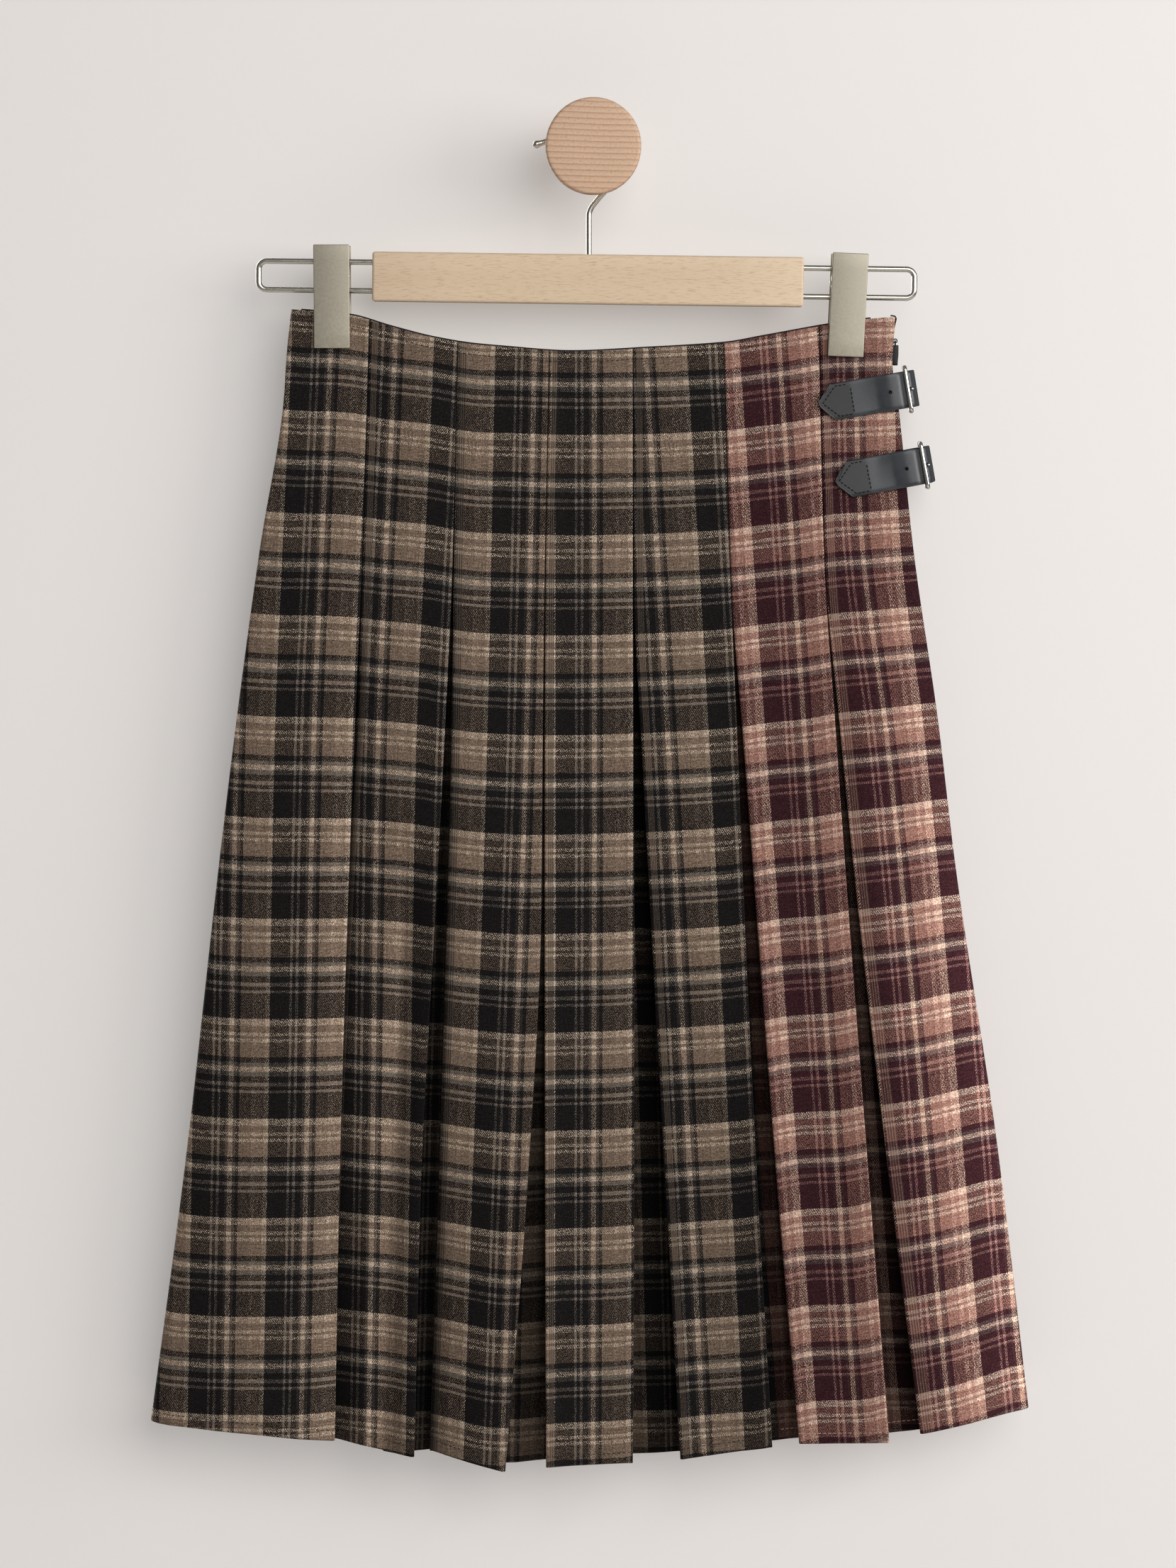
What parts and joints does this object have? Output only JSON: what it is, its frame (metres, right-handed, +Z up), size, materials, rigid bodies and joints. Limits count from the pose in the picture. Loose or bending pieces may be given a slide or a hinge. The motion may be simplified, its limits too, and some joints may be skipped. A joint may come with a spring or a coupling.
{
  "type": "pleated kilt skirt on a clip hanger and wooden wall peg",
  "caption": "Long check kilt skirt with box pleats, two-colour panels and side buckle straps, clipped by its waist to a wooden bar hanger that hangs on a round wall peg.",
  "frame": {"origin": "middle of the peg's back face, which lies against the wall", "axes": "+Z up, +Y into the wall, +X to the right seen from the front; the skirt's front faces -Y"},
  "size_m": [0.5588, 0.0646, 0.8557],
  "materials": {
    "black_check": "brushed wool twill in a black and taupe check",
    "burgundy_check": "brushed wool twill in a burgundy and rose-beige check",
    "black_facing": "plain black waist facing",
    "black_leather": "smooth black leather with a low sheen",
    "satin_nickel": "satin nickel plate",
    "bright_nickel": "bright nickel plate",
    "beech": "pale beech with a satin lacquer",
    "black_zip": "black tape and black lacquered metal"
  },
  "bodies": {
    "skirt_on_hanger": {"skirt_front_black": "black_check", "skirt_front_burgundy": "burgundy_check", "skirt_back_black": "black_check", "skirt_back_burgundy": "burgundy_check", "waist_facing_front": "black_facing", "waist_facing_back": "black_facing", "strap_upper": "black_leather", "strap_lower": "black_leather", "chape_upper": "black_leather", "chape_lower": "black_leather", "buckle_upper": "bright_nickel", "buckle_lower": "bright_nickel", "prong_upper": "bright_nickel", "prong_lower": "bright_nickel", "zip_tape_front": "black_zip", "zip_tape_back": "black_zip", "zip_slider": "black_zip", "hanger_bar": "beech", "hanger_hook": "satin_nickel", "wire_loop_left": "satin_nickel", "wire_loop_right": "satin_nickel", "clip_left_front": "satin_nickel", "clip_left_back": "satin_nickel", "clip_left_spring": "satin_nickel", "clip_right_front": "satin_nickel", "clip_right_back": "satin_nickel", "clip_right_spring": "satin_nickel", "wall_peg": "beech"},
    "zip_pull": {"pull_tab": "black_zip"}
  },
  "joints": [
    {"name": "zip_pull_swing", "type": "hinge", "parent": "skirt_on_hanger", "child": "zip_pull", "pos_m": [0.1875, -0.034, -0.1183], "axis": [0, -1, 0], "range_deg": [0, 165]}
  ]
}
